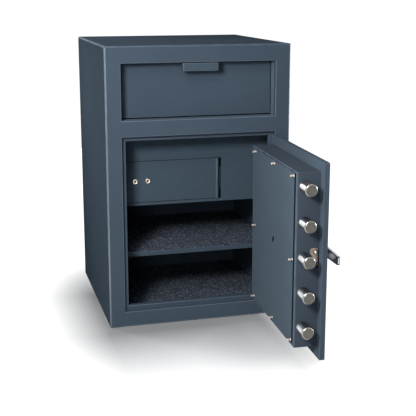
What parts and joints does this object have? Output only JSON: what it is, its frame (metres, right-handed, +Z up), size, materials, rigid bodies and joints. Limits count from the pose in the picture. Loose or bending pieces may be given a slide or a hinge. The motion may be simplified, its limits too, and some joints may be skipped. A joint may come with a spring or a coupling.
{
  "type": "deposit safe",
  "caption": "Steel deposit safe with a tilting deposit hopper above a hinged door with round locking bolts, a small inner locker and a carpeted shelf.",
  "frame": {"origin": "middle of the cabinet's base, on the floor", "axes": "+Z up, -Y out of the front with the hopper and door, +X to the right seen from the front"},
  "size_m": [0.508, 0.9768, 0.762],
  "materials": {
    "paint": "satin blue-grey enamel",
    "bolt_steel": "turned, light brushing",
    "zinc": "zinc plated",
    "chrome": "polished",
    "brass": "nickel-tinged, satin",
    "black": "satin black",
    "carpet": "short dark grey pile"
  },
  "bodies": {
    "cabinet": {"side_wall_left": "paint", "side_wall_right": "paint", "roof_plate": "paint", "back_plate": "paint", "base_plate": "paint", "front_frame": "paint", "door_stop_lip": "paint", "hopper_sleeve": "paint", "hopper_hinge_rod": "bolt_steel", "chute_plate": "paint", "fishing_baffle": "paint", "locker_front_panel": "paint", "locker_box": "paint", "locker_hinge_leaf": "bolt_steel", "middle_shelf": "paint", "shelf_carpet": "carpet", "floor_carpet": "carpet", "shelf_rail_left": "paint", "shelf_rail_right": "paint", "hinge_post_bottom": "paint", "hinge_post_top": "paint"},
    "door": {"door_plate": "paint", "hinge_strap_bottom": "paint", "hinge_strap_top": "paint", "bolt_pan": "paint", "cover_plate": "paint", "cover_screw_1": "bolt_steel", "cover_screw_2": "bolt_steel", "cover_screw_3": "bolt_steel", "cover_screw_4": "bolt_steel", "cover_screw_5": "bolt_steel", "cover_screw_6": "bolt_steel", "cover_screw_7": "bolt_steel", "cover_screw_8": "bolt_steel", "bolt_guide": "zinc", "dead_bar": "paint", "handle_escutcheon": "chrome", "dial_ring": "black", "lock_case": "zinc", "trigger_rivet": "bolt_steel", "trigger_stop_pin": "brass"},
    "boltwork": {"bolt_carrier": "zinc", "locking_bolt_1": "bolt_steel", "locking_bolt_2": "bolt_steel", "locking_bolt_3": "bolt_steel", "locking_bolt_4": "bolt_steel", "locking_bolt_5": "bolt_steel"},
    "handle": {"handle_lever": "chrome", "handle_spindle": "chrome"},
    "dial": {"dial_knob": "black"},
    "lock_bolt": {"lock_bolt": "brass"},
    "trigger": {"trigger_lever": "zinc"},
    "hopper": {"hopper_panel": "paint", "pull_tab": "paint", "hopper_bucket": "paint"},
    "locker_door": {"locker_door": "paint", "locker_lock_case": "zinc"},
    "locker_latch": {"locker_latch": "bolt_steel"},
    "key_left": {"key_plug_left": "brass"},
    "key_right": {"key_plug_right": "brass"}
  },
  "joints": [
    {"name": "door_swing", "type": "hinge", "parent": "cabinet", "child": "door", "pos_m": [0.2243, -0.2747, 0.283], "axis": [0, 0, 1], "range_deg": [-87.3, 92]},
    {"name": "bolt_slide", "type": "slide", "parent": "door", "child": "boltwork", "axis": [0.0471, 0.9989, 0], "range_m": [0, 0.036]},
    {"name": "handle_turn", "type": "hinge", "parent": "door", "child": "handle", "pos_m": [0.17618, -0.58608, 0.283], "axis": [0.9989, -0.0471, 0], "range_deg": [0, 90]},
    {"name": "dial_turn", "type": "hinge", "parent": "door", "child": "dial", "pos_m": [0.18037, -0.49718, 0.315], "axis": [0.9989, -0.0471, 0], "continuous": true},
    {"name": "lock_bolt_slide", "type": "slide", "parent": "door", "child": "lock_bolt", "axis": [0, 0, 1], "range_m": [-0.008, 0]},
    {"name": "trigger_turn", "type": "hinge", "parent": "door", "child": "trigger", "pos_m": [0.16153, -0.6845, 0.308], "axis": [0.0471, 0.9989, 0], "range_deg": [-8, 12], "stiffness_Nm_per_rad": 0.05},
    {"name": "hopper_tilt", "type": "hinge", "parent": "cabinet", "child": "hopper", "pos_m": [0, -0.2027, 0.577], "axis": [1, 0, 0], "range_deg": [0, 40]},
    {"name": "locker_door_swing", "type": "hinge", "parent": "cabinet", "child": "locker_door", "pos_m": [0.0765, -0.1505, 0.38], "axis": [0, 0, 1], "range_deg": [0, 90]},
    {"name": "locker_latch_slide", "type": "slide", "parent": "locker_door", "child": "locker_latch", "axis": [1, 0, 0], "range_m": [-0.01, 0]},
    {"name": "key_left_turn", "type": "hinge", "parent": "locker_door", "child": "key_left", "pos_m": [-0.1595, -0.149, 0.383], "axis": [0, 1, 0], "range_deg": [-90, 0]},
    {"name": "key_right_turn", "type": "hinge", "parent": "locker_door", "child": "key_right", "pos_m": [-0.124, -0.149, 0.383], "axis": [0, 1, 0], "range_deg": [-90, 0]}
  ],
  "couplings": [
    {"joint": "handle_turn", "follows": "bolt_slide", "rad_per_m": 43.6},
    {"joint": "key_left_turn", "follows": "locker_latch_slide", "rad_per_m": 157}
  ]
}
